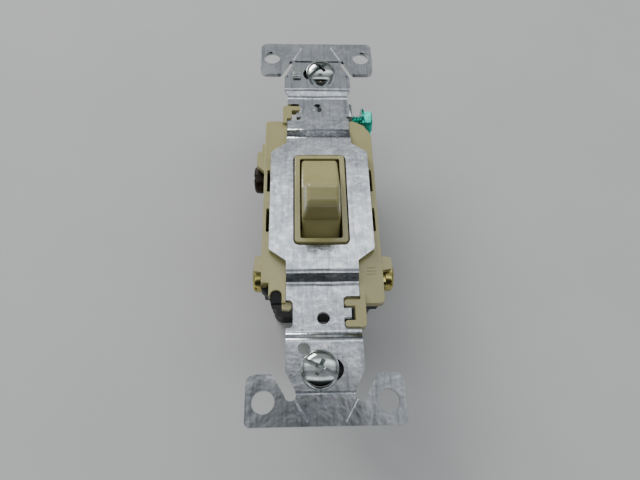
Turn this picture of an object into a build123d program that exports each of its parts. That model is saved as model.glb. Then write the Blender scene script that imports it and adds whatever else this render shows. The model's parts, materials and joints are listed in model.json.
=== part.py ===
"""Three-way toggle wall switch, side and back wired, on a 2-3/8 in / 3-9/32 in strap.

Frame: origin at the centre of the two box screws' pattern, on the back plane of the strap's ears.
+X to the right, +Y to the ground-screw end ("far"), +Z out of the wall. Millimetres.
The toggle is drawn leaning towards -Y, with the far pair of contacts closed.
"""
import os
from math import cos, radians, sin

from build123d import *

# ---- standard interfaces -------------------------------------------------------------------------
BOX_SCREW_Y = 83.34 / 2          # box screws stand 3-9/32 in apart
PLATE_SCREW_Y = 60.325 / 2       # wall-plate screws stand 2-3/8 in apart
PLATE_TAP_R = 1.45               # 6-32 tapped hole
EAR_HOLE = (12.85, 48.04)        # centre of each ear hole
EAR_HOLE_R = 2.35

# ---- strap ---------------------------------------------------------------------------------------
SHEET = 1.2                      # sheet thickness
BEND_R = 1.8
NEAR_EDGE, FAR_EDGE = -52.86, 53.6
EAR_HALF_X = 16.5                # near ears
FAR_EAR_HALF_X = 16.1
NECK_HALF_X = 8.35
PLATE_HALF_X, PLATE_HALF_Y = 12.4, 13.9                # centre plate
NECK_END_Y = 16.9                # where the necks meet the slopes of the centre plate
LEVEL_PAD, LEVEL_LOW, LEVEL_PLATE = 0.0, -1.2, 0.55    # back of the sheet at each level
NEAR_STEPS = (-35.2, -33.6, -22.1, -19.5)              # Y of the bends, near half
FAR_STEPS = (18.7, 22.5, 33.9, 35.6)                   # Y of the bends, far half
BOX_SLOT = (7.9, 4.8)            # length along X, width along Y
COLLAR_HOLE = (13.45, 25.9)

# hooks of the cover over the strap: side, centres of the prongs, then from and to along Y for the
# notch in the strap, the tongue in the notch and the hook's spine, and |X| of the tongue's end
HOOKS = {
    "near_right": (1, (-26.83, -31.62), (-32.75, -25.05), (-30.05, -27.9), (-32.4, -26.1), 6.3),
    "far_left": (-1, (29.55,), (25.9, 31.6), (27.0, 28.5), (26.05, 30.4), 5.9),
}
HOOK_REACH = 4.6
PRONG = 1.45                     # width of each prong

# ---- housing -------------------------------------------------------------------------------------
BODY_HALF_X = 14.2
COVER_TOP, COVER_UNDER = -0.2, -2.2
PARTING_Z = -10.5                # ivory cover above, black body below
BACK_Z = -26.5
COVER_NEAR_Y, COVER_FAR_Y = -26.8, 25.7
BLOCK_HALF_Y = 20.3              # thick part of the cover
NEAR_WALL_UNDER = -5.0           # short wall under the cover's near left corner
COLLAR = (12.7, 25.0)
COLLAR_TOP = 2.3
MOUTH = (10.1, 22.8)             # opening inside the collar
TUB_HALF_X, TUB_HALF_Y = 12.3, 23.2
TUB_WALL, TUB_FLOOR = 1.7, -24.5
END_BLOCK_UNDER = -12.5

# ---- toggle --------------------------------------------------------------------------------------
PIVOT_Z = -4.0
LEAN = 20.0                      # either side of upright
LEVER_TIP_H, LEVER_BASE_H = 20.2, 8.9
LEVER_TIP = (7.1, 5.2)           # X by Y at the tip
LEVER_BASE = (9.3, 8.2)
ROCKER_R = 12.48                 # sweep of the rocker's ends
SWEEP_CLEARANCE = 0.27
TRUNNION_R, TRUNNION_END = 2.0, 6.9
ARM_END = -7.0                   # lower arm, below the pivot
SOCKET_R, SOCKET_TOP = 2.15, 0.5
FIT = 0.06                       # radial clearance of a turning shaft

# ---- contact works -------------------------------------------------------------------------------
SEESAW_Z = -17.0                 # pivot of the contact rocker
SEESAW_TILT = 7.0                # either side of level
PLUNGER_BALL = 1.3
PLUNGER_REACH = 8.8              # toggle pivot to the ball's centre
CONTACT_Y = 8.5
STRIP_TOP, STRIP_T = -19.2, 1.2
SEESAW_BOSS_R = 1.0

# ---- terminals: side, Y of the screw, how far it stands backed out, turn of its slot -------------
TERMINALS = {
    "common": (-1, 10.5, 0.8, 70),
    "traveller_left": (-1, -17.8, 0.15, 20),
    "traveller_right": (1, -17.8, 1.1, -35),
}
BARRIERS = {                     # outline of the barrier over each screw: |X|, Y
    "common": [(13.0, 18.0), (14.9, 17.9), (14.95, 15.5), (16.15, 15.3), (16.2, 11.4), (14.3, 9.4),
               (13.0, 9.4)],
    "traveller_left": [(13.0, -14.4), (15.8, -14.9), (16.0, -18.5), (13.0, -19.0)],
    "traveller_right": [(13.0, -14.9), (16.4, -15.2), (16.6, -18.2), (13.0, -18.7)],
}
SCREW_Z = -6.2
SHANK_R = 2.05                   # 8-32
HEAD_R, HEAD_T = 3.6, 2.3
PLATE_X = (10.3, 11.5)           # tapped plate of each terminal
CLAMP_X = (13.0, 14.05)
HEAD_X = 14.08
SHANK_TIP_X = 8.2
WIRE_HOLE = (12.3, 2.3, 1.05)    # X, offset from the screw, radius

# ---- loose screws --------------------------------------------------------------------------------
BOX_SHANK_R = 1.75               # 6-32
BOX_NECK_R = 1.4                 # neck under the head
WASHER = (10.2, 5.6)
WASHER_Z = (-0.9, -0.05)
BOX_SHANK_TIP = -17.8
BOX_HEAD_R, BOX_HEAD_T = 4.1, 2.6
BOX_SCREWS = {"near": (-1, -1.1, -22), "far": (1, 1.0, 38)}     # end, place in the slot, turn
GROUND = (28.6, -4.5)            # Y, Z of the ground screw
GROUND_TAB_X = (8.4, 9.6)
GROUND_SEAT_X = 12.25            # underside of its head, backed out from the tab
ASSEMBLY_Y = 19.0


# ---- helpers -------------------------------------------------------------------------------------
def block(x0, x1, y0, y1, z0, z1):
    """Box between two corners, given in any order."""
    size = (abs(x1 - x0), abs(y1 - y0), abs(z1 - z0))
    return Pos((x0 + x1) / 2, (y0 + y1) / 2, (z0 + z1) / 2) * Box(*size)


def rod_x(r, x0, x1, y, z):
    return Pos((x0 + x1) / 2, y, z) * Rot(0, 90, 0) * Cylinder(r, abs(x1 - x0))


def rod_z(r, z0, z1, x, y):
    return Pos(x, y, (z0 + z1) / 2) * Cylinder(r, abs(z1 - z0))


def outline(points):
    return make_face(Polyline(*points, close=True))


def prism_x(face_or_points, x0, x1):
    """Y-Z outline pushed along X."""
    face = outline(face_or_points) if isinstance(face_or_points, list) else face_or_points
    return extrude(Plane.YZ.offset(min(x0, x1)) * face, abs(x1 - x0))


def prism_z(face_or_points, z0, z1):
    """X-Y outline pushed along Z."""
    face = outline(face_or_points) if isinstance(face_or_points, list) else face_or_points
    return extrude(Plane.XY.offset(z0) * face, z1 - z0)


def rounded(width, height, r, z0, z1, x=0, y=0):
    return prism_z(Pos(x, y) * RectangleRounded(width, height, r), z0, z1)


def corners(face, places, r):
    """Round the corners of an outline that lie at the given places."""
    picked = [v for v in face.vertices() for p in places if abs(v.X - p[0]) < 0.01 and abs(v.Y - p[1]) < 0.01]
    return fillet(picked, r)


def tilt(shape, degrees, z):
    """Turn a shape about the X axis through (0, 0, z)."""
    return Pos(0, 0, z) * Rot(degrees, 0, 0) * Pos(0, 0, -z) * shape


# ---- strap ---------------------------------------------------------------------------------------
def strap_levels(thickness):
    """Side profile of the bent sheet, or of the space above its back when thickness is large."""
    a, b, c, d = NEAR_STEPS
    e, f, g, h = FAR_STEPS
    back = [(NEAR_EDGE, LEVEL_PAD), (a, LEVEL_PAD), (b, LEVEL_LOW), (c, LEVEL_LOW), (d, LEVEL_PLATE),
            (e, LEVEL_PLATE), (f, LEVEL_LOW), (g, LEVEL_LOW), (h, LEVEL_PAD), (FAR_EDGE, LEVEL_PAD)]
    front = [(y, z + thickness) for y, z in reversed(back)]
    face = outline(back + front)
    bends = back[1:-1] + [(y, z + thickness) for y, z in back[1:-1]]
    return corners(face, bends, BEND_R)


def strap_outline():
    near = [(EAR_HALF_X, NEAR_EDGE), (EAR_HALF_X, -42.5), (11.1, -42.5), (8.3, -47.2), (6.2, -46.0),
            (NECK_HALF_X, -41.9), (NECK_HALF_X, -NECK_END_Y), (PLATE_HALF_X, -PLATE_HALF_Y)]
    far = [(PLATE_HALF_X, PLATE_HALF_Y), (NECK_HALF_X, NECK_END_Y), (NECK_HALF_X, 34.8), (9.3, 36.2),
           (9.2, 40.35), (6.45, 46.2), (7.5, 46.8),
           (10.3, 41.7), (FAR_EAR_HALF_X, 41.7), (FAR_EAR_HALF_X, FAR_EDGE)]
    right = near + far
    left = [(-x, y) for x, y in reversed(right)]
    face = outline(right + left)
    for places, r in (([(EAR_HALF_X, NEAR_EDGE)], 1.1), ([(EAR_HALF_X, -42.5)], 1.9),
                      ([(FAR_EAR_HALF_X, 41.7), (FAR_EAR_HALF_X, FAR_EDGE)], 1.7),
                      ([(NECK_HALF_X, -41.9), (9.3, 36.2), (9.2, 40.35)], 0.8),
                      ([(11.1, -42.5), (10.3, 41.7)], 0.5),
                      ([(PLATE_HALF_X, -PLATE_HALF_Y), (PLATE_HALF_X, PLATE_HALF_Y)], 0.6)):
        both = places + [(-x, y) for x, y in places]
        face = corners(face, both, r)
    return face


def score(x0, y0, x1, y1, width, depth):
    """V groove in the front of an ear, from one point to another."""
    run = Vector(x1 - x0, y1 - y0)
    angle = Vector(1, 0).get_signed_angle(run, Vector(0, 0, 1))
    half = width / 2
    section = [(-half, 0.2), (-half, 0), (0, -depth), (half, 0), (half, 0.2)]
    return Pos(x0, y0, SHEET) * Rot(0, 0, angle) * prism_x(section, 0, run.length)


def strap_notch(side, y0, y1, reach):
    """Round-cornered notch in the strap's edge between two places along it."""
    notch = rounded(9 - reach, y1 - y0, 1.0, -3, 1, side * (9 + reach) / 2, (y0 + y1) / 2)
    return notch + block(side * 8, side * 10, y0, y1, -3, 1)


def strap_hook_notch(name):
    """Notch for one cover hook, with a tongue of the sheet left between the hook's prongs."""
    side, _, (y0, y1), (t0, t1), _, tongue = HOOKS[name]
    return strap_notch(side, y0, y1, HOOK_REACH) - block(side * HOOK_REACH, side * tongue, t0, t1, -4, 2)


def strap():
    sheet = prism_x(strap_levels(SHEET), -20, 20) & prism_z(strap_outline(), -5, 5)
    sheet -= rounded(*COLLAR_HOLE, 1.5, -5, 5)
    for side in (-1, 1):
        for end in (-1, 1):
            sheet -= rod_z(EAR_HOLE_R, -1, 2, side * EAR_HOLE[0], end * EAR_HOLE[1])
        sheet -= rod_z(1.2, -1, 2, side * 7.3, -46.75)
        sheet -= score(side * 6.5, -47.5, side * 3.9, -52.0, 0.5, 0.2)
        sheet -= score(side * 6.6, 47.2, side * 4.0, 52.4, 0.5, 0.2)
        sheet -= score(side * 8.3, 40.9, side * 8.9, 39.9, 0.6, 0.35)
    for end in (-1, 1):
        slot = Pos(0, end * BOX_SCREW_Y) * SlotOverall(*BOX_SLOT)
        sheet -= prism_z(slot, -1, 2)
        sheet -= rod_z(PLATE_TAP_R, -3, 2, 0, end * PLATE_SCREW_Y)
        sheet -= score(-6.4, end * 46.4, 6.4, end * 46.4, 0.7, 0.4)
    sheet -= rod_z(1.35, -1, 2, -4.37, -37.2)
    for name in HOOKS:
        sheet -= strap_hook_notch(name)
    sheet -= strap_notch(-1, -32.4, -25.9, 6.8)
    sheet -= rod_z(0.5, -3, 1, NECK_HALF_X, 26.9)
    sheet -= strap_coining()
    return sheet + ground_tab()


def strap_coining():
    """Shallow coined frame on the centre plate, between the collar and the near bend."""
    top = LEVEL_PLATE + SHEET
    frame = RectangleRounded(12.6, 2.9, 0.6) - RectangleRounded(11.9, 2.2, 0.4)
    return prism_z(Pos(0, -15.1) * frame, top - 0.08, top + 0.2)


def ground_tab():
    """Tab bent down from the strap's far right edge, tapped for the ground screw."""
    y, z = GROUND
    tab = block(*GROUND_TAB_X, y - 1.4, y + 3.0, -8.6, -SHEET / 2)
    tab += block(*GROUND_TAB_X, y - 2.6, y + 3.0, -8.6, -1.6)
    tab += block(7.5, GROUND_TAB_X[1], y - 1.4, y + 3.0, LEVEL_LOW, LEVEL_LOW + SHEET)
    edge = tab.edges().filter_by(Axis.Y).sort_by(Axis.X)[-4:].sort_by(Axis.Z)[-1]
    tab = fillet(edge, 0.9)
    return tab - rod_x(SHANK_R + FIT, 6, 10, y, z)


# ---- front housing -------------------------------------------------------------------------------
def cover_outline():
    post_notch = [(-8.0, -26.4), (-9.35, -26.4), (-9.35, -23.4), (-11.95, -23.4), (-11.95, -24.7),
                  (-12.4, -24.7), (-12.4, -21.6)]
    left = [(-BODY_HALF_X, -21.6), (-BODY_HALF_X, COVER_FAR_Y)]
    right = [(9.6, COVER_FAR_Y), (12.3, 24.3), (BODY_HALF_X, 21.2), (BODY_HALF_X, COVER_NEAR_Y)]
    face = outline(post_notch + left + right + [(8.0, COVER_NEAR_Y)])
    face = corners(face, [(BODY_HALF_X, COVER_NEAR_Y), (-BODY_HALF_X, COVER_FAR_Y)], 1.2)
    face = corners(face, [(-9.35, -23.4), (-11.95, -23.4)], 1.2)
    return corners(face, [(12.3, 24.3), (BODY_HALF_X, 21.2), (-BODY_HALF_X, -21.6)], 0.6)


def hook(name):
    """Hook beside the strap: a spine along Y and one or two round-ended prongs that lie over the strap."""
    side, prongs, _, _, (y0, y1), _ = HOOKS[name]
    low_lip = 0.04
    spine = rounded(2.4, y1 - y0, 0.9, COVER_UNDER, 0.6, side * 8.35, (y0 + y1) / 2)
    root = y0 if y0 > 0 else y1
    spine += block(side * (NECK_HALF_X + 0.1), side * 9.5, root - 1.5, root + 1.5, COVER_UNDER, 0.6)
    for y in prongs:
        arm = rounded(4.0, PRONG, 0.6, low_lip, 0.6, side * 6.85, y)
        arm += block(side * 5.2, side * 8.4, y - PRONG / 2, y + PRONG / 2, LEVEL_LOW, 0.5)
        spine += arm
    return spine


def near_left_prong():
    """Small knuckle of the cover that stands in the strap's near left notch."""
    top = -0.9
    return rod_z(0.75, COVER_UNDER, top, -7.85, -27.1) + block(-9.3, -7.9, -27.7, -26.0, COVER_UNDER, top)


def barrier(name):
    side = TERMINALS[name][0]
    points = [(side * x, y) for x, y in BARRIERS[name]]
    shelf = prism_z(points, -2.0, -0.4)
    outer = [e for e in shelf.edges().filter_by(Axis.Z) if abs(e.center().X) > 15.5]
    return fillet(outer, 0.6)


def terminal_recess(name):
    """Space in the housing round one terminal: clamp, tapped plate, its leg and the screw's tip."""
    side, y, _, _ = TERMINALS[name]
    space = block(side * PLATE_X[1], side * 18, y - 3.8, y + 3.6, PARTING_Z - 0.01, -2.1)
    space += block(side * (PLATE_X[0] - 0.05), side * 12, y - 3.5, y + 3.5, PARTING_Z - 0.01, -2.5)
    space += block(side * 9.2, side * 12, y - 2.7, y + 2.7, PARTING_Z - 0.01, -8.8)
    return space + rod_x(2.4, side * 7.4, side * 12, y, SCREW_Z)


def toggle_cavity():
    half_x = MOUTH[0] / 2
    cavity = rod_x(ROCKER_R + SWEEP_CLEARANCE, -half_x, half_x, 0, PIVOT_Z)
    cavity &= block(-half_x, half_x, -15, 15, PARTING_Z - 0.1, 1.75)
    cavity += rounded(MOUTH[0], MOUTH[1], 0.5, 0, COLLAR_TOP + 1)
    trunnion_end = TRUNNION_END + 0.2
    cavity += rod_x(TRUNNION_R + FIT, -trunnion_end, trunnion_end, 0, PIVOT_Z)
    half = TRUNNION_R + FIT
    return cavity + block(-trunnion_end, trunnion_end, -half, half, PARTING_Z - 0.1, PIVOT_Z)


def front_housing():
    plate = prism_z(cover_outline(), COVER_UNDER, COVER_TOP)
    top_edges = plate.faces().sort_by(Axis.Z)[-1].edges()
    plate = fillet(top_edges, 0.18)
    body = plate + block(-BODY_HALF_X, BODY_HALF_X, -BLOCK_HALF_Y, BLOCK_HALF_Y, PARTING_Z, -1)
    neck = NECK_HALF_X - 0.15
    near = [(-PLATE_HALF_X, -PLATE_HALF_Y), (-neck, -NECK_END_Y), (-neck, -22), (neck, -22),
            (neck, -NECK_END_Y), (PLATE_HALF_X, -PLATE_HALF_Y)]
    far = [(-x, -y) for x, y in near]
    body += prism_z(near + far, -2, LEVEL_PLATE)
    above_strap = prism_x(strap_levels(6), -NECK_HALF_X - 0.1, NECK_HALF_X + 0.1)
    body -= above_strap
    for name in TERMINALS:
        body += barrier(name)
    for name in HOOKS:
        body += hook(name)
    body += near_left_prong() + block(-BODY_HALF_X, -12.4, -21.6, -19, NEAR_WALL_UNDER, -1)
    body -= rounded(*COLLAR_HOLE, 1.1, -1.6, COLLAR_TOP + 1)
    collar = rounded(*COLLAR, 0.9, -2, COLLAR_TOP)
    collar = fillet(collar.faces().sort_by(Axis.Z)[-1].edges(), 0.3)
    body += collar
    body -= toggle_cavity()
    for name in TERMINALS:
        body -= terminal_recess(name)
    for y in (-18.1, -18.9, -19.7):
        body -= block(10.4, 12.5, y - 0.1, y + 0.1, COVER_TOP - 0.15, COVER_TOP + 1)
    for side in (-1, 1):
        for y0, y1 in ((-8.4, -1.8), (3.0, 9.6)):
            body -= rounded(0.8, y1 - y0, 0.35, -8.6, 1, side * 13.0, (y0 + y1) / 2)
    for y in (-ASSEMBLY_Y, ASSEMBLY_Y):
        body -= rod_z(1.22, PARTING_Z - 0.1, -3.6, 0, y)
    for side, y in ((1, 10.5), (1, -2.0), (-1, -4.0)):
        body -= rounded(3.2, 8.0, 0.8, PARTING_Z - 0.1, -4.0, side * 9.6, y)
    return body


# ---- rear body -----------------------------------------------------------------------------------
def corner_post(x, y0, y1):
    """Round-nosed post that locks into a notch of the cover."""
    nose = (1 if y1 > y0 else -1) * 1.22
    post = rod_z(1.22, COVER_UNDER - 0.5, -0.7, x, y0 + nose)
    return post + block(x - 1.22, x + 1.22, y0 + nose, y1, COVER_UNDER - 0.5, -0.7)


def near_end():
    """Black wall under the cover's near end: a wide flange, and a narrower wall below it."""
    flange = prism_z([(-BODY_HALF_X, -20.5), (-BODY_HALF_X, -22.3), (-12.3, -24.2), (-11.8, -26.2),
                      (12.6, -26.5), (13.9, -25.2), (13.9, -20.5)], -5.2, COVER_UNDER)
    flange -= block(-15, -12.2, -21.9, -20, NEAR_WALL_UNDER - 0.05, 0)
    wall = prism_z([(-11.9, -20.5), (-11.9, -24.6), (-10.9, -25.6), (10.4, -26.2), (13.4, -22.8),
                    (13.4, -20.5)], END_BLOCK_UNDER, -5.0)
    shoulder = prism_z([(11.0, -14), (11.0, -22.9), (12.4, -22.4), (13.4, -20.9), (13.4, -14)],
                       BACK_Z + 1.2, END_BLOCK_UNDER)
    return flange + wall + shoulder


def far_end():
    points = [(-13.8, 20.5), (-13.8, 22.0), (-10.4, 24.9), (10.4, 24.9), (12.2, 23.6), (13.8, 21.0),
              (13.8, 20.5)]
    return prism_z(points, END_BLOCK_UNDER, COVER_UNDER)


def wire_ledge(name):
    side, y, _, _ = TERMINALS[name]
    return block(side * 10.6, side * 13.9, y - 3.5, y + 3.5, END_BLOCK_UNDER, PARTING_Z)


def wire_holes(name):
    side, y, _, _ = TERMINALS[name]
    x, offset, r = WIRE_HOLE
    holes = Part()
    for end in (-1, 1):
        holes += rod_z(r, BACK_Z - 1, PARTING_Z + 1, side * x, y + end * offset)
        mouth = Pos(side * x, y + end * offset, BACK_Z + 0.6) * Cone(r + 0.7, r, 1.3)
        holes += mouth
    return holes


def trunnion_post(side):
    """Bracket from the tub's wall that closes the trunnion's slot from below."""
    half = TRUNNION_R - 0.05
    post = block(side * 5.2, side * 10.7, -half, half, -15, PARTING_Z)
    post += block(side * 5.2, side * 7.0, -half, half, PARTING_Z - 1, PIVOT_Z)
    return post - rod_x(TRUNNION_R + FIT, side * 4, side * 8, 0, PIVOT_Z)


def rear_body():
    tub = rounded(2 * TUB_HALF_X, 2 * TUB_HALF_Y, 2.6, BACK_Z, PARTING_Z)
    tub = fillet(tub.faces().sort_by(Axis.Z)[0].edges(), 0.8)
    tub += near_end() + far_end()
    for name in TERMINALS:
        tub += wire_ledge(name)
    inner = (TUB_HALF_X - TUB_WALL, TUB_HALF_Y - TUB_WALL)
    tub -= rounded(2 * inner[0], 2 * inner[1], 1.5, TUB_FLOOR, PARTING_Z + 0.01)
    tub -= block(-9.5, 9.5, -22.2, -20.4, PARTING_Z - 1, -4) + block(-9.5, 9.5, 20.4, 21.9, PARTING_Z - 1, -4)
    for name in TERMINALS:
        tub -= terminal_recess(name) + wire_holes(name)
    tub += corner_post(-10.65, -23.45, -26.0)
    for side in (-1, 1):
        tub += trunnion_post(side)
    for y in (-ASSEMBLY_Y, ASSEMBLY_Y):
        tub += rod_z(2.8, BACK_Z + 0.5, PARTING_Z, 0, y)
        tub -= rod_z(1.35, BACK_Z - 1, PARTING_Z + 1, 0, y) + rod_z(2.6, BACK_Z - 1, -24.8, 0, y)
    rib_top = STRIP_TOP - STRIP_T
    for x, y, wide, deep in ((-9, -15, 2, 6), (-9, 6, 2, 6), (9, -12, 2, 6), (9, 6, 2, 6), (0, 0, 4, 3),
                             (0, -CONTACT_Y, 4, 2), (0, CONTACT_Y, 4, 2)):
        tub += block(x - wide / 2, x + wide / 2, y - deep / 2, y + deep / 2, TUB_FLOOR - 0.1, rib_top)
    panel = RectangleRounded(15, 20, 1.5)
    return tub - prism_z(panel, BACK_Z - 0.1, BACK_Z + 0.35)


def assembly_screws():
    screws = Part()
    for y in (-ASSEMBLY_Y, ASSEMBLY_Y):
        head = rod_z(2.4, -26.3, -24.8, 0, y)
        head = chamfer(head.faces().sort_by(Axis.Z)[0].edges(), 0.4)
        for angle in (0, 90):
            head -= Pos(0, y, -26.3) * Rot(0, 0, angle) * Box(2.8, 0.6, 1.6)
        screws += head + rod_z(1.2, -24.9, -4.2, 0, y)
    return screws


# ---- terminals -----------------------------------------------------------------------------------
def terminal_lug(name):
    """Tapped plate behind the screw and the leg that carries it down into the body."""
    side, y, _, _ = TERMINALS[name]
    lug = block(side * PLATE_X[0], side * PLATE_X[1], y - 3.4, y + 3.4, -10.1, -2.6)
    lug += block(side * 9.3, side * PLATE_X[1], y - 2.5, y + 2.5, -10.1, -8.9)
    lug += block(side * 9.3, side * 10.5, y - 2.5, y + 2.5, STRIP_TOP - STRIP_T, -8.9)
    return lug - rod_x(SHANK_R + FIT, side * 8, side * 12, y, SCREW_Z)


def strip(x0, x1, y0, y1):
    return block(x0, x1, y0, y1, STRIP_TOP - STRIP_T, STRIP_TOP)


def common_terminal():
    lug = terminal_lug("common") + strip(-10.5, -7.5, -2.5, 13.0) + strip(-10.5, 3.4, -2.5, 2.5)
    saddle = block(-3.4, 3.4, -2.1, 2.1, STRIP_TOP - 0.1, SEESAW_Z)
    saddle = chamfer(saddle.edges().filter_by(Axis.X).sort_by(Axis.Z)[-2:], 0.5)
    return lug + saddle - rod_x(SEESAW_BOSS_R + FIT, -4, 4, 0, SEESAW_Z)


def traveller_terminal(name):
    side, y, _, _ = TERMINALS[name]
    contact_y = -CONTACT_Y if side < 0 else CONTACT_Y
    reach = block(side * 7.5, side * 10.5, y - 2.5, contact_y + 2, STRIP_TOP - STRIP_T, STRIP_TOP)
    arm = strip(-side * 2.4, side * 10.5, contact_y - 2, contact_y + 2)
    return terminal_lug(name) + reach + arm


def fixed_contact(end):
    button = rod_z(1.8, STRIP_TOP, STRIP_TOP + 0.46, 0, end * CONTACT_Y)
    return fillet(button.faces().sort_by(Axis.Z)[-1].edges(), 0.15)


def clamp_plate(name):
    side, y, out, _ = TERMINALS[name]
    plate = block(side * CLAMP_X[0], side * CLAMP_X[1], y - 3.3, y + 3.2, SCREW_Z - 3.3, SCREW_Z + 3.3)
    plate = chamfer(plate.edges().filter_by(Axis.X), 0.6)
    for offset in (-2.6, 2.5):
        plate -= block(side * 12.9, side * (CLAMP_X[0] + 0.2), y + offset - 0.2, y + offset + 0.2, -12, 0)
    plate -= rod_x(SHANK_R + FIT, side * 12, side * 15, y, SCREW_Z)
    return Pos(side * out, 0, 0) * plate


def driven_head(r, thick, round_edge, slot_w, slot_d):
    """Screw head standing on z = 0, slot along X, with a small cross recess."""
    head = Pos(0, 0, thick / 2) * Cylinder(r, thick)
    head = fillet(head.faces().sort_by(Axis.Z)[-1].edges(), round_edge)
    head -= Pos(0, 0, thick) * Box(3 * r, slot_w, 2 * slot_d)
    return head - Pos(0, 0, thick) * Box(slot_w, r * 0.9, 2 * slot_d)


def terminal_screw(name):
    side, y, out, slot_angle = TERMINALS[name]
    head = Rot(0, side * 90, 0) * Rot(0, 0, slot_angle) * driven_head(HEAD_R, HEAD_T, 0.7, 0.9, 1.0)
    shank = rod_x(SHANK_R, side * SHANK_TIP_X, side * (HEAD_X + 0.1), y, SCREW_Z)
    shank = chamfer(shank.faces().sort_by(Axis.X)[0 if side > 0 else -1].edges(), 0.5)
    screw = Pos(side * HEAD_X, y, SCREW_Z) * head + shank
    return Pos(side * out, 0, 0) * screw


# ---- screws of the strap -------------------------------------------------------------------------
def ground_screw():
    y, z = GROUND
    flange = Pos(0, 0, 0.35) * Cylinder(4.1, 0.7)
    hexagon = Pos(0, 0, 0.6) * extrude(RegularPolygon(3.65, 6), 2.4)
    hexagon = chamfer(hexagon.faces().sort_by(Axis.Z)[-1].edges(), 0.25)
    head = flange + hexagon - Pos(0, 0, 3.0) * Box(9, 1.1, 2.0)
    shank = rod_x(SHANK_R, 4.8, GROUND_SEAT_X + 0.1, y, z)
    shank = chamfer(shank.faces().sort_by(Axis.X)[0].edges(), 0.5)
    return Pos(GROUND_SEAT_X, y, z) * Rot(0, 90, 0) * Rot(0, 0, 25) * head + shank


def box_screw(name):
    """Round-headed screw with a slot and a cross recess, and a neck that its washer holds."""
    end, x, slot_angle = BOX_SCREWS[name]
    rise = BOX_HEAD_T - 0.5
    sphere_r = (BOX_HEAD_R ** 2 + rise ** 2) / (2 * rise)
    dome = Pos(0, 0, BOX_HEAD_T - sphere_r) * Sphere(sphere_r)
    dome &= Pos(0, 0, BOX_HEAD_T / 2) * Cylinder(BOX_HEAD_R, BOX_HEAD_T)
    dome -= Pos(0, 0, BOX_HEAD_T) * Box(9, 0.9, 1.9)
    for angle in (45, 135):
        dome -= Pos(0, 0, BOX_HEAD_T) * Rot(0, 0, angle) * Box(3.9, 0.8, 2.3)
    shank = rod_z(BOX_SHANK_R, BOX_SHANK_TIP - SHEET, WASHER_Z[0] - 0.05 - SHEET, 0, 0)
    shank = chamfer(shank.faces().sort_by(Axis.Z)[0].edges(), 0.5)
    shank += rod_z(BOX_NECK_R, WASHER_Z[0] - 0.1 - SHEET, 0.1, 0, 0)
    screw = Rot(0, 0, slot_angle) * (dome + shank)
    return Pos(x, end * BOX_SCREW_Y, SHEET + 0.02) * screw


def retaining_washer(name):
    """Oblong fibre card that keeps the screw in its slot and closes the slot from behind."""
    end, x, _ = BOX_SCREWS[name]
    washer = rounded(*WASHER, 1.0, *WASHER_Z) - rod_z(BOX_NECK_R + FIT, -2, 1, 0, 0)
    return Pos(x, end * BOX_SCREW_Y) * washer


def grounding_clip():
    """Ridged spring clip gripping the far pad beside the box screw's slot."""
    x0, x1, y0, y1 = -7.0, -4.35, 39.6, 43.9
    clip = block(x0, x1, y0, y1, SHEET, SHEET + 0.45)
    clip = fillet(clip.edges().filter_by(Axis.Z), 0.4)
    for y in (40.3, 41.0, 41.7):
        clip += rod_x(0.3, x0 + 0.2, x1 - 0.2, y, SHEET + 0.45)
    return clip


# ---- toggle, spring and contact rocker -----------------------------------------------------------
def toggle_side():
    """Y-Z outline of the upright toggle: lever, sloping shield and lower arm."""
    end_h = 1.8
    end_y = (ROCKER_R ** 2 - end_h ** 2) ** 0.5
    tip, base = LEVER_TIP[1] / 2, LEVER_BASE[1] / 2
    right = [(tip, LEVER_TIP_H), (base, LEVER_BASE_H), (end_y, end_h), (11.3, 0.1), (3.4, 4.4),
             (3.2, ARM_END)]
    face = outline(right + [(-y, z) for y, z in reversed(right)])
    face = corners(face, [(tip, LEVER_TIP_H), (-tip, LEVER_TIP_H)], 1.9)
    return corners(face, [(base, LEVER_BASE_H), (-base, LEVER_BASE_H)], 1.2)


def toggle_front():
    """X-Z outline of the upright toggle: parallel below, tapering up the lever."""
    tip, base = LEVER_TIP[0] / 2, LEVER_BASE[0] / 2
    right = [(tip, LEVER_TIP_H), (base, LEVER_BASE_H), (base, ARM_END)]
    face = outline(right + [(-x, z) for x, z in reversed(right)])
    return corners(face, [(tip, LEVER_TIP_H), (-tip, LEVER_TIP_H)], 1.1)


def toggle_upright():
    """Toggle with its lever straight up, pivot at the origin."""
    half_x = LEVER_BASE[0] / 2
    front = extrude(Plane.XZ * toggle_front(), 15, both=True)
    body = prism_x(toggle_side(), -half_x, half_x) & front
    uprights = [e for e in body.edges() if e.center().Z > LEVER_BASE_H + 2 and abs(e.center().X) > 2.5
                and abs(e.position_at(0).Z - e.position_at(1).Z) > 5]
    body = fillet(uprights, 0.9)
    body -= block(3.6, 6, -3.3, 3.3, ARM_END - 1, -2.1) + block(-3.6, -6, -3.3, 3.3, ARM_END - 1, -2.1)
    body += rod_x(TRUNNION_R, -TRUNNION_END, TRUNNION_END, 0, 0)
    return body - rod_z(SOCKET_R, ARM_END - 1, SOCKET_TOP, 0, 0)


def in_toggle(shape):
    """Place a shape drawn about an upright pivot into the leaning toggle."""
    return Pos(0, 0, PIVOT_Z) * Rot(LEAN, 0, 0) * shape


def plunger_upright():
    cup = rod_z(SOCKET_R - 0.08, -8.0, -4.2, 0, 0)
    nose = Pos(0, 0, -PLUNGER_REACH) * Sphere(PLUNGER_BALL)
    neck = Pos(0, 0, -8.25) * Cone(1.15, SOCKET_R - 0.3, 0.6)
    return cup + nose + neck - rod_z(1.75, -7.2, -4.1, 0, 0)


def spring_upright():
    bottom, top, wire, mean_r = -7.15, 0.45, 0.22, 1.45
    height = top - bottom - 2 * wire
    coil = Pos(0, 0, bottom + wire) * Helix(pitch=height / 8, height=height, radius=mean_r)
    section = Plane(origin=coil @ 0, z_dir=coil % 0) * Circle(wire)
    return sweep(section, path=coil)


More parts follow.
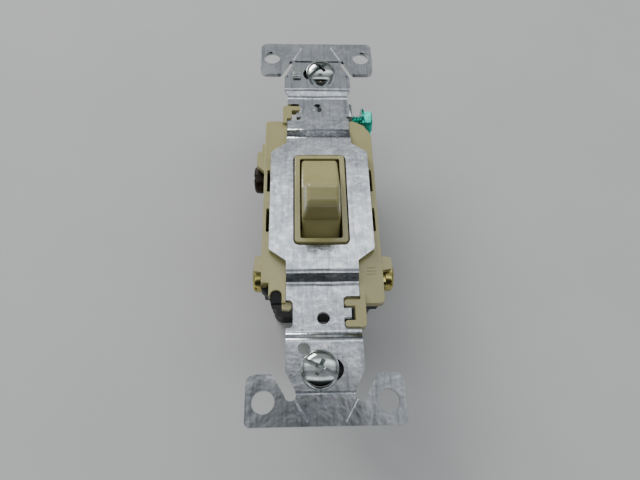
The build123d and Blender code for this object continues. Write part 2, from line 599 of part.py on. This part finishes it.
def trough():
    """Radius and height of the groove that clears the plunger's nose over the whole swing."""
    lean, seesaw = radians(LEAN), radians(SEESAW_TILT)
    low = PIVOT_Z - PLUNGER_REACH
    y, z = PLUNGER_REACH * sin(lean), PIVOT_Z - PLUNGER_REACH * cos(lean) - SEESAW_Z
    end_y = y * cos(seesaw) - z * sin(seesaw)
    end_z = y * sin(seesaw) + z * cos(seesaw) + SEESAW_Z
    rise = end_z - low
    path_r = (end_y ** 2 + rise ** 2) / (2 * rise)
    return path_r + PLUNGER_BALL + 0.15, low + path_r


def on_seesaw(shape):
    return tilt(shape, -SEESAW_TILT, SEESAW_Z)


def contact_rocker():
    groove_r, groove_z = trough()
    web_top = SEESAW_Z + 1.0
    blade = block(-2.6, 2.6, -10.2, 10.2, SEESAW_Z + 0.8, SEESAW_Z + 2.0)
    blade += block(-3.0, 3.0, -3.7, 3.7, SEESAW_Z + 0.8, SEESAW_Z + 4.0)
    blade -= rod_x(groove_r, -4, 4, 0, groove_z)
    blade += block(-3.0, 3.0, -0.7, 0.7, SEESAW_Z, web_top) + rod_x(SEESAW_BOSS_R, -3.0, 3.0, 0, SEESAW_Z)
    for end in (-1, 1):
        blade -= rod_z(0.7, -20, -10, 0, end * CONTACT_Y)
    return on_seesaw(blade)


def moving_contact(end):
    button = rod_z(1.6, SEESAW_Z - 0.4, SEESAW_Z + 0.8, 0, end * CONTACT_Y)
    rivet = rod_z(0.7, SEESAW_Z + 0.7, SEESAW_Z + 2.0, 0, end * CONTACT_Y)
    return on_seesaw(button + rivet + rod_z(1.1, SEESAW_Z + 2.0, SEESAW_Z + 2.4, 0, end * CONTACT_Y))


# ---- write every node ----------------------------------------------------------------------------
def all_nodes():
    nodes = {
        "strap": strap(),
        "front_housing": front_housing(),
        "rear_body": rear_body(),
        "assembly_screws": assembly_screws(),
        "common_terminal": common_terminal(),
        "fixed_contact_near": fixed_contact(-1),
        "fixed_contact_far": fixed_contact(1),
        "grounding_clip": grounding_clip(),
        "toggle_lever": in_toggle(toggle_upright()),
        "spring_plunger": in_toggle(plunger_upright()),
        "over_center_spring": in_toggle(spring_upright()),
        "contact_rocker": contact_rocker(),
        "moving_contact_near": moving_contact(-1),
        "moving_contact_far": moving_contact(1),
        "ground_screw": ground_screw(),
    }
    for end in BOX_SCREWS:
        nodes[f"box_screw_{end}"] = box_screw(end)
        nodes[f"retaining_washer_{end}"] = retaining_washer(end)
    for side in ("left", "right"):
        nodes[f"traveller_terminal_{side}"] = traveller_terminal(f"traveller_{side}")
    for name in TERMINALS:
        nodes[f"{name}_screw"] = terminal_screw(name)
        nodes[f"{name}_clamp"] = clamp_plate(name)
    return nodes


os.makedirs("parts", exist_ok=True)
for node, shape in all_nodes().items():
    export_step(shape, f"parts/{node}.step")
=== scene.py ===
"""Looks of a three-way toggle wall switch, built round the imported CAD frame. Lengths are in metres."""
import json
from math import cos, pi, radians, sin

import bmesh
import bpy
from mathutils import Matrix, Vector


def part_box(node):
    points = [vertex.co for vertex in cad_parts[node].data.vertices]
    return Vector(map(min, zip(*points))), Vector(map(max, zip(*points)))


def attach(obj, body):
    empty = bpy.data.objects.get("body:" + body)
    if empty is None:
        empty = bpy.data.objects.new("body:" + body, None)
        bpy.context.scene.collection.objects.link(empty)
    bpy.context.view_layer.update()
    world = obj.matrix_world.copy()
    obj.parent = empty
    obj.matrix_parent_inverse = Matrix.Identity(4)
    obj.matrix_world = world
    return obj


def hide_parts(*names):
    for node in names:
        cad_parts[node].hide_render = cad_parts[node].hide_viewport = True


MM = 0.001
WELD_DISTANCE = 0.001 * MM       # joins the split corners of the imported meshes
EDGE_ANGLE = 32                  # degrees; sharper edges are bevelled and shaded as edges
THREAD_PITCH = 0.794 * MM        # 32 threads to the inch
BOX_HEAD_HEIGHT, BOX_HEAD_RIM = 2.6 * MM, 0.6 * MM
BOX_THREAD_R, BOX_NECK_R = 1.75 * MM, 1.4 * MM
TERMINAL_HEAD_HEIGHT, TERMINAL_THREAD_R = 2.3 * MM, 2.05 * MM
GROUND_HEAD_HEIGHT, GROUND_FLANGE_R, GROUND_HEX_R = 3.0 * MM, 4.1 * MM, 3.62 * MM
SLOT_WIDTH = 0.95 * MM
SCREW_EDGE, GROUND_EDGE = 0.09 * MM, 0.1 * MM      # asked for; clamping makes it far smaller
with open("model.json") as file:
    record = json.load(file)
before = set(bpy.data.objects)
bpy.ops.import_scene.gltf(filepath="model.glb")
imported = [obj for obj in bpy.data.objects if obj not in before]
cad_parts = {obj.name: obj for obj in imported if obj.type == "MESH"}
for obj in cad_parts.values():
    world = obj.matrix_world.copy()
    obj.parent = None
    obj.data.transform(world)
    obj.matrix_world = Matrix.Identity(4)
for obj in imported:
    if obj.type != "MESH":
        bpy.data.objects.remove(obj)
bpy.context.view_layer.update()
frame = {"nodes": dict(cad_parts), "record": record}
nodes = frame["nodes"]


# ---- materials ------------------------------------------------------------------------------------
class Shader:
    """Small helper round one material's node tree. Patterns are placed by the object's own coordinates."""

    def __init__(self, name):
        self.material = bpy.data.materials.new(name)
        self.material.use_nodes = True
        self.tree = self.material.node_tree
        self.bsdf = self.tree.nodes["Principled BSDF"]
        self.place = self.tree.nodes.new("ShaderNodeTexCoord").outputs["Object"]

    def add(self, kind, inputs=(), **settings):
        node = self.tree.nodes.new(kind)
        for key, value in settings.items():
            setattr(node, key, value)
        for key, value in dict(inputs).items():
            self.feed(node.inputs[key], value)
        return node

    def feed(self, socket, value):
        if isinstance(value, bpy.types.NodeSocket):
            self.tree.links.new(value, socket)
        else:
            socket.default_value = value

    def set(self, **values):
        for key, value in values.items():
            self.feed(self.bsdf.inputs[key.replace("_", " ")], value)

    def stretched(self, scale):
        return self.add("ShaderNodeMapping", {"Vector": self.place, "Scale": scale}).outputs["Vector"]

    def noise(self, scale, detail=3.0, rough=0.5, at=None):
        where = self.place if at is None else at
        made = {"Vector": where, "Scale": scale, "Detail": detail, "Roughness": rough}
        return self.add("ShaderNodeTexNoise", made).outputs["Fac"]

    def ramp(self, value, stops):
        node = self.add("ShaderNodeValToRGB", {"Fac": value})
        elements = node.color_ramp.elements
        for index, (place, colour) in enumerate(stops):
            stop = elements[index] if index < 2 else elements.new(place)
            stop.position = place
            shade = colour if isinstance(colour, tuple) else (colour, colour, colour)
            stop.color = (*shade, 1)
        return node.outputs["Color"]

    def spread(self, value, low, high, new_low, new_high):
        made = {"Value": value, "From Min": low, "From Max": high, "To Min": new_low, "To Max": new_high}
        return self.add("ShaderNodeMapRange", made).outputs["Result"]

    def blend(self, factor, first, second):
        node = self.add("ShaderNodeMix", data_type="RGBA")
        for key, value in ((0, factor), (6, first), (7, second)):
            if isinstance(value, tuple):
                value = (*value, 1)
            self.feed(node.inputs[key], value)
        return node.outputs[2]

    def bump(self, height, strength, distance, below=None):
        made = {"Height": height, "Strength": strength, "Distance": distance}
        node = self.add("ShaderNodeBump", made)
        if below is not None:
            self.tree.links.new(below, node.inputs["Normal"])
        return node.outputs["Normal"]


def zinc_steel():
    """Zinc-plated sheet: blue-grey and mottled, with drawn streaks along Y and small bright rubs."""
    s = Shader("zinc_steel")
    cloud = s.noise(90, 4, 0.6)
    mottle = s.noise(520, 5, 0.65)
    streak = s.noise(1100, 4, 0.6, at=s.stretched((1.0, 0.10, 1.0)))
    tone = s.ramp(cloud, ((0.34, (0.38, 0.405, 0.435)), (0.5, (0.48, 0.50, 0.525)),
                          (0.66, (0.59, 0.605, 0.625))))
    tone = s.blend(s.spread(mottle, 0.46, 0.64, 0.0, 0.7), tone, (0.74, 0.75, 0.76))
    tone = s.blend(s.spread(streak, 0.50, 0.68, 0.0, 0.6), tone, (0.24, 0.26, 0.29))
    s.set(Base_Color=tone, Metallic=1.0, Roughness=s.spread(mottle, 0.35, 0.65, 0.24, 0.15))
    relief = s.bump(cloud, 0.4, 0.0006)
    relief = s.bump(mottle, 0.3, 0.00006, relief)
    s.set(Normal=s.bump(streak, 0.15, 0.00003, relief))
    return s.material


def ivory_plastic():
    """Moulded ivory plastic, semi-gloss, a little darker where dust has settled."""
    s = Shader("ivory_plastic")
    cloud = s.noise(110, 4, 0.55)
    tone = s.ramp(cloud, ((0.35, (0.362, 0.330, 0.145)), (0.65, (0.415, 0.380, 0.178))))
    tone = s.blend(s.spread(s.noise(900, 4, 0.7), 0.5, 0.8, 0.0, 0.25), tone, (0.31, 0.28, 0.14))
    s.set(Base_Color=tone, Roughness=s.spread(s.noise(1500, 2, 0.5), 0.3, 0.7, 0.16, 0.26))
    s.bsdf.inputs["Specular IOR Level"].default_value = 0.5
    s.bsdf.inputs["Subsurface Weight"].default_value = 0.05
    s.bsdf.inputs["Subsurface Radius"].default_value = (0.0012, 0.0010, 0.0006)
    s.set(Normal=s.bump(s.noise(500, 3, 0.5), 0.06, 0.00003))
    return s.material


def black_plastic():
    s = Shader("black_plastic")
    tone = s.ramp(s.noise(220, 4, 0.6), ((0.3, (0.004, 0.004, 0.0045)), (0.7, (0.010, 0.0095, 0.0095))))
    s.set(Base_Color=tone, Roughness=s.spread(s.noise(1200, 3, 0.6), 0.3, 0.7, 0.34, 0.52))
    s.bsdf.inputs["Specular IOR Level"].default_value = 0.22
    s.set(Normal=s.bump(s.noise(1600, 3, 0.6), 0.15, 0.00003))
    return s.material


def plated(name, dark, light, rough, spots=260):
    """Plated or bare metal with cloudy tarnish and fine turning marks."""
    s = Shader(name)
    cloud = s.noise(spots, 4, 0.6)
    s.set(Base_Color=s.ramp(cloud, ((0.33, dark), (0.66, light))), Metallic=1.0)
    s.set(Roughness=s.spread(cloud, 0.3, 0.7, rough * 1.35, rough * 0.8))
    s.set(Normal=s.bump(s.noise(2200, 3, 0.6), 0.14, 0.00003))
    return s.material


def moulded(name, dark, light, rough):
    s = Shader(name)
    s.set(Base_Color=s.ramp(s.noise(300, 4, 0.6), ((0.35, dark), (0.65, light))))
    s.set(Roughness=s.spread(s.noise(900, 3, 0.5), 0.3, 0.7, rough * 0.9, rough * 1.15))
    s.set(Normal=s.bump(s.noise(1400, 4, 0.6), 0.3, 0.00004))
    return s.material


MATERIALS = {
    "zinc_steel": zinc_steel(),
    "ivory_plastic": ivory_plastic(),
    "black_plastic": black_plastic(),
    "zinc_screw": plated("zinc_screw", (0.36, 0.39, 0.385), (0.62, 0.655, 0.64), 0.12, 420),
    "brass": plated("brass", (0.34, 0.29, 0.08), (0.66, 0.58, 0.22), 0.22, 420),
    "silver_contact": plated("silver_contact", (0.62, 0.62, 0.60), (0.80, 0.80, 0.78), 0.3),
    "spring_steel": plated("spring_steel", (0.42, 0.42, 0.42), (0.62, 0.62, 0.62), 0.25),
    "green_metal": plated("green_metal", (0.01, 0.26, 0.19), (0.06, 0.66, 0.50), 0.16, 420),
    "dark_oxide": plated("dark_oxide", (0.020, 0.017, 0.014), (0.060, 0.045, 0.035), 0.38),
    "white_plastic": moulded("white_plastic", (0.70, 0.70, 0.66), (0.80, 0.80, 0.77), 0.4),
    # nearly black washers; seen through the screw slots, they make the slots dark
    "fibre": moulded("fibre", (0.010, 0.009, 0.008), (0.030, 0.027, 0.024), 0.75),
}
SLOT_OF = {row["node"]: row["material_slot"] for row in frame["record"]["subparts"]}


def dress_cad_nodes():
    """Give every CAD node its own material on the object's slots."""
    for name, obj in nodes.items():
        for slot in obj.material_slots:
            slot.link = "OBJECT"
            slot.material = MATERIALS[SLOT_OF[name]]


# ---- mesh helpers -----------------------------------------------------------------------------------
def new_object(name, mesh, material=None):
    obj = bpy.data.objects.new(name, mesh)
    bpy.context.scene.collection.objects.link(obj)
    if material is not None:
        mesh.materials.clear()
        mesh.materials.append(material)
    return obj


def rings_to_mesh(name, rings):
    """Closed skin over a stack of rings of equal length; the ends are closed with one face each."""
    bm = bmesh.new()
    rows = [[bm.verts.new(point) for point in ring] for ring in rings]
    count = len(rows[0])
    for below, above in zip(rows, rows[1:]):
        for i in range(count):
            j = (i + 1) % count
            bm.faces.new((below[i], below[j], above[j], above[i]))
    bm.faces.new(list(reversed(rows[0])))
    bm.faces.new(rows[-1])
    mesh = bpy.data.meshes.new(name)
    bm.to_mesh(mesh)
    bm.free()
    return mesh


def ring(radius, height, segments=64):
    steps = (2 * pi * i / segments for i in range(segments))
    return [(radius * cos(a), radius * sin(a), height) for a in steps]


def turned(name, profile, segments=64):
    """Solid of revolution about Z from (radius, height) points, bottom to top."""
    return rings_to_mesh(name, [ring(r, z, segments) for r, z in profile])


def threaded_rod(name, radius, bottom, top, segments=36, rows_per_turn=9):
    """Rod along Z with a helical V thread that fades out at the tip."""
    depth, tip_length = 0.58 * THREAD_PITCH, 1.3 * THREAD_PITCH
    rows = int((top - bottom) / THREAD_PITCH * rows_per_turn)
    rings = []
    for k in range(rows + 1):
        z = bottom + (top - bottom) * k / rows
        tip = min(1.0, (z - bottom) / tip_length)
        points = []
        for i in range(segments):
            angle = 2 * pi * i / segments
            phase = (z / THREAD_PITCH - angle / (2 * pi)) % 1.0
            crest = min(1.0, 2.6 * min(phase, 1.0 - phase))
            r = radius - depth * (1 - crest) * tip - (1 - tip) * 0.9 * depth
            points.append((r * cos(angle), r * sin(angle), z))
        rings.append(points)
    return rings_to_mesh(name, rings)


def box_mesh(name, size, centre):
    bm = bmesh.new()
    bmesh.ops.create_cube(bm, size=1.0)
    place = Matrix.Translation(centre) @ Matrix.Diagonal((*size, 1))
    bmesh.ops.transform(bm, matrix=place, verts=bm.verts)
    mesh = bpy.data.meshes.new(name)
    bm.to_mesh(mesh)
    bm.free()
    return mesh


def cross_cutter(name, reach, width, bottom, top):
    """Tapered cross recess, wider at its mouth."""
    bm = bmesh.new()
    for angle in (0.0, pi / 2):
        corners = []
        for z, grow in ((bottom, 0.35), (top, 1.0)):
            x, y = reach * grow, width / 2 * (0.75 + 0.25 * grow)
            corners += [(x, y, z), (-x, y, z), (-x, -y, z), (x, -y, z)]
        turn = Matrix.Rotation(angle, 3, "Z")
        verts = [bm.verts.new(turn @ Vector(c)) for c in corners]
        for face in ((3, 2, 1, 0), (4, 5, 6, 7), (0, 1, 5, 4), (1, 2, 6, 5), (2, 3, 7, 6), (3, 0, 4, 7)):
            bm.faces.new([verts[i] for i in face])
    mesh = bpy.data.meshes.new(name)
    bm.to_mesh(mesh)
    bm.free()
    return mesh


def combine(base, others):
    """Exact booleans, one after another: (mesh, "DIFFERENCE", "UNION" or "INTERSECT")."""
    work = new_object("work", base)
    helpers = []
    for mesh, operation in others:
        helper = new_object("helper", mesh)
        helpers.append(helper)
        modifier = work.modifiers.new("cut", "BOOLEAN")
        modifier.operation, modifier.solver, modifier.object = operation, "EXACT", helper
        modifier.use_self = True
    depsgraph = bpy.context.evaluated_depsgraph_get()
    result = bpy.data.meshes.new_from_object(work.evaluated_get(depsgraph))
    for obj in [work] + helpers:
        bpy.data.objects.remove(obj)
    bm = bmesh.new()
    bm.from_mesh(result)
    bmesh.ops.remove_doubles(bm, verts=bm.verts, dist=0.004 * MM)
    bmesh.ops.dissolve_degenerate(bm, edges=bm.edges, dist=0.002 * MM)
    bmesh.ops.recalc_face_normals(bm, faces=bm.faces)
    bm.to_mesh(result)
    bm.free()
    return result


def smooth_by_angle(obj):
    mesh = obj.data
    mesh.shade_smooth()
    mesh.set_sharp_from_angle(angle=radians(EDGE_ANGLE))


def soften(obj, width):
    """Bevel of at most this width. Overlap clamping narrows it to suit the mesh's smallest edges."""
    modifier = obj.modifiers.new("soft_edges", "BEVEL")
    modifier.width, modifier.segments = width, 2
    modifier.limit_method, modifier.angle_limit = "ANGLE", radians(EDGE_ANGLE)
    modifier.harden_normals = False
    modifier.use_clamp_overlap = True


# ---- screws -----------------------------------------------------------------------------------------
def place_piece(obj, node, body, matrix):
    obj.data.transform(matrix)
    obj.data.update()
    smooth_by_angle(obj)
    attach(obj, body)
    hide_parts(node)


def axis_matrix(origin, direction):
    turn = Vector(direction).to_track_quat("Z", "Y").to_matrix().to_4x4()
    return Matrix.Translation(origin) @ turn


def dome_profile(radius, steps=9):
    """Round head of a box screw: a short rim, then an arc up to the crown."""
    profile = [(radius * 0.97, 0.0), (radius, 0.12 * BOX_HEAD_RIM), (radius, BOX_HEAD_RIM)]
    for k in range(1, steps + 1):
        t = k / steps
        r = radius * (1 - t ** 1.9) if t < 1 else 0.02 * radius
        profile.append((r, BOX_HEAD_RIM + (BOX_HEAD_HEIGHT - BOX_HEAD_RIM) * sin(t * pi / 2)))
    return profile


def box_screw(end, slot_angle):
    """6-32 round-headed screw with a slot and a cross recess, and a plain neck inside its washer."""
    node = f"box_screw_{end}"
    low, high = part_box(node)
    x, y = (low[0] + high[0]) / 2, (low[1] + high[1]) / 2
    radius = (high[0] - low[0]) / 2
    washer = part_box(f"retaining_washer_{end}")
    seat = high[2] - BOX_HEAD_HEIGHT
    under = washer[0][2] - seat
    head = turned("head", dome_profile(radius))
    slot = box_mesh("slot", (10 * MM, SLOT_WIDTH, 3.2 * MM), (0, 0, BOX_HEAD_HEIGHT + 0.05 * MM))
    cross = cross_cutter("cross", 2.1 * MM, SLOT_WIDTH, 0.5 * MM, BOX_HEAD_HEIGHT + 0.3 * MM)
    neck = turned("neck", [(BOX_NECK_R, under - 0.2 * MM), (BOX_NECK_R, 0.2 * MM)], 36)
    thread = threaded_rod("thread", BOX_THREAD_R, low[2] - seat, under - 0.06 * MM)
    mesh = combine(head, [(slot, "DIFFERENCE"), (cross, "DIFFERENCE"), (neck, "UNION"), (thread, "UNION")])
    obj = new_object(f"{node}_detailed", mesh, MATERIALS["zinc_screw"])
    turn = Matrix.Rotation(radians(slot_angle), 4, "Z")
    place_piece(obj, node, node, Matrix.Translation((x, y, seat)) @ turn)
    soften(obj, SCREW_EDGE)


def terminal_screw(name, slot_angle, material):
    """8-32 binding-head screw: undercut head, slot and cross recess."""
    node = f"{name}_screw"
    low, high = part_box(node)
    side = 1 if low[0] > 0 else -1
    outer = high[0] if side > 0 else low[0]
    tip = low[0] if side > 0 else high[0]
    thick, radius = TERMINAL_HEAD_HEIGHT, (high[1] - low[1]) / 2
    seat = outer - side * thick
    y, z = (low[1] + high[1]) / 2, (low[2] + high[2]) / 2
    profile = [(0.62 * radius, 0.25 * MM), (0.9 * radius, 0.02 * MM), (0.98 * radius, 0.05 * MM),
               (radius, 0.25 * MM), (radius, 1.35 * MM), (0.965 * radius, 1.75 * MM),
               (0.86 * radius, 2.08 * MM),
               (0.68 * radius, 2.22 * MM), (0.4 * radius, 2.28 * MM), (0.02 * radius, thick)]
    head = turned("head", profile)
    slot = box_mesh("slot", (9 * MM, SLOT_WIDTH, 2.2 * MM), (0, 0, thick))
    cross = cross_cutter("cross", 2.1 * MM, 0.9 * MM, 0.3 * MM, thick + 0.3 * MM)
    thread = threaded_rod("thread", TERMINAL_THREAD_R, -abs(seat - tip), 0.9 * MM)
    mesh = combine(head, [(slot, "DIFFERENCE"), (cross, "DIFFERENCE"), (thread, "UNION")])
    obj = new_object(f"{node}_detailed", mesh, MATERIALS[material])
    turn = Matrix.Rotation(radians(slot_angle), 4, "Z")
    place_piece(obj, node, node, axis_matrix((seat, y, z), (side, 0, 0)) @ turn)
    soften(obj, SCREW_EDGE)


def ground_screw():
    """Green hexagon washer-head screw with a driver slot."""
    low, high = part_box("ground_screw")
    y, z = (low[1] + high[1]) / 2, (low[2] + high[2]) / 2
    thick, flange_r, hex_r = GROUND_HEAD_HEIGHT, GROUND_FLANGE_R, GROUND_HEX_R
    seat = high[0] - thick
    flange = turned("flange", [(flange_r * 0.96, 0), (flange_r, 0.12 * MM), (flange_r, 0.5 * MM),
                               (flange_r * 0.96, 0.7 * MM), (flange_r * 0.8, 0.8 * MM)])
    hexagon = turned("hexagon", [(hex_r, 0.5 * MM), (hex_r, 2.55 * MM), (hex_r * 0.96, 2.8 * MM),
                                 (hex_r * 0.87, thick)], 6)
    crown = turned("crown", [(3.75 * MM, 0.4 * MM), (3.75 * MM, 2.25 * MM), (3.0 * MM, thick + 0.05 * MM)])
    slot = box_mesh("slot", (9 * MM, 1.1 * MM, 2.2 * MM), (0, 0, thick))
    thread = threaded_rod("thread", TERMINAL_THREAD_R, low[0] - seat, 0.3 * MM)
    steps = [(crown, "INTERSECT"), (flange, "UNION"), (slot, "DIFFERENCE"), (thread, "UNION")]
    mesh = combine(hexagon, steps)
    obj = new_object("ground_screw_detailed", mesh, MATERIALS["green_metal"])
    turn = Matrix.Rotation(radians(6), 4, "Z")
    matrix = axis_matrix((seat, y, z), (1, 0, 0)) @ turn
    place_piece(obj, "ground_screw", "ground_screw", matrix)
    soften(obj, GROUND_EDGE)


# ---- floor, light and camera -----------------------------------------------------------------------
def area_light(name, size, power, place, colour):
    """Rectangular lamp that points at the origin."""
    data = bpy.data.lights.new(name, "AREA")
    data.shape = "RECTANGLE"
    data.size, data.size_y = size
    data.energy, data.color = power, colour
    lamp = bpy.data.objects.new(name, data)
    bpy.context.scene.collection.objects.link(lamp)
    lamp.location = place
    lamp.rotation_euler = (-Vector(place)).to_track_quat("-Z", "Y").to_euler()


def add_floor():
    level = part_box("rear_body")[0][2]
    half = 1.5
    corners = [(-half, -half, level), (half, -half, level), (half, half, level), (-half, half, level)]
    mesh = bpy.data.meshes.new("floor")
    mesh.from_pydata(corners, [], [(0, 1, 2, 3)])
    s = Shader("floor_paper")
    tone = s.ramp(s.noise(30, 3, 0.5), ((0.3, (0.53, 0.53, 0.52)), (0.7, (0.55, 0.55, 0.54))))
    s.set(Base_Color=tone, Roughness=0.85)
    new_object("floor", mesh, s.material)


# brightness of the light dome by the Y part of its direction, fitted to the metal's reflections
DOME = ((-1.0, 0.02), (-0.70, 0.03), (-0.60, 0.2), (-0.50, 1.8), (-0.42, 1.8), (-0.3, 0.5), (0.0, 0.30),
        (0.10, 0.80), (0.17, 0.60), (0.23, 0.70), (0.28, 1.1), (0.34, 1.6), (0.38, 2.0), (0.47, 2.4),
        (0.53, 1.7), (0.58, 0.85), (0.64, 0.45), (0.70, 0.40), (0.76, 0.60), (1.0, 0.2))
DOME_PEAK = 2.4


def add_world():
    """Overhead light in soft bands, dim towards the horizon and in a patch straight above."""
    world = bpy.data.worlds.new("studio")
    bpy.context.scene.world = world
    world.use_nodes = True
    s = Shader.__new__(Shader)
    s.tree = world.node_tree
    s.place = s.tree.nodes.new("ShaderNodeTexCoord").outputs["Generated"]
    axes = s.add("ShaderNodeSeparateXYZ", {"Vector": s.place}).outputs
    rise = s.ramp(axes["Z"], ((0.0, 0.14), (0.10, 0.22), (0.45, 0.75), (0.7, 1.0)))
    across = s.spread(axes["Y"], -1, 1, 0, 1)
    bands = s.ramp(across, [((y + 1) / 2, value / DOME_PEAK) for y, value in DOME])
    overhead = {0: s.place, 1: (0.0, 0.09, 1.0)}
    aside = s.add("ShaderNodeVectorMath", overhead, operation="DISTANCE").outputs["Value"]
    lean = s.spread(aside, 0.07, 0.20, 0.10, 1.0)
    light = s.add("ShaderNodeMath", {0: rise, 1: bands}, operation="MULTIPLY").outputs[0]
    light = s.add("ShaderNodeMath", {0: light, 1: lean}, operation="MULTIPLY").outputs[0]
    background = s.tree.nodes["Background"]
    background.inputs["Color"].default_value = (0.93, 0.965, 1.0, 1)
    level = s.add("ShaderNodeMath", {0: light, 1: DOME_PEAK}, operation="MULTIPLY").outputs[0]
    s.feed(background.inputs["Strength"], level)


def add_light():
    add_world()
    area_light("window", (0.8, 0.4), 11.0, (-0.62, 1.0, 0.62), colour=(1.0, 0.99, 0.96))


def add_camera():
    """Stand at the photograph's viewpoint, which was solved from the strap's outline."""
    data = bpy.data.cameras.new("camera")
    data.sensor_width, data.lens = 36.0, 27.56
    data.clip_start, data.clip_end = 0.005, 10
    camera = bpy.data.objects.new("camera", data)
    bpy.context.scene.collection.objects.link(camera)
    camera.location = (-4.965 * MM, -63.545 * MM, 104.755 * MM)
    camera.rotation_euler = (radians(26.764), radians(-1.8635), radians(-1.3414))
    bpy.context.scene.camera = camera


def soften_cad_nodes():
    """Join the split corners of five nodes, then bevel. Clamping leaves bevels of a few micrometres."""
    for name, width in (("strap", 0.10), ("front_housing", 0.12), ("rear_body", 0.15), ("toggle_lever", 0.08),
                        ("grounding_clip", 0.06)):
        weld = nodes[name].modifiers.new("join_corners", "WELD")
        weld.merge_threshold = WELD_DISTANCE
        soften(nodes[name], width * MM)


dress_cad_nodes()
soften_cad_nodes()
box_screw("near", -27)
box_screw("far", 38)
terminal_screw("common", 70, "dark_oxide")
terminal_screw("traveller_left", 20, "brass")
terminal_screw("traveller_right", -35, "brass")
ground_screw()
add_floor()
add_light()
add_camera()
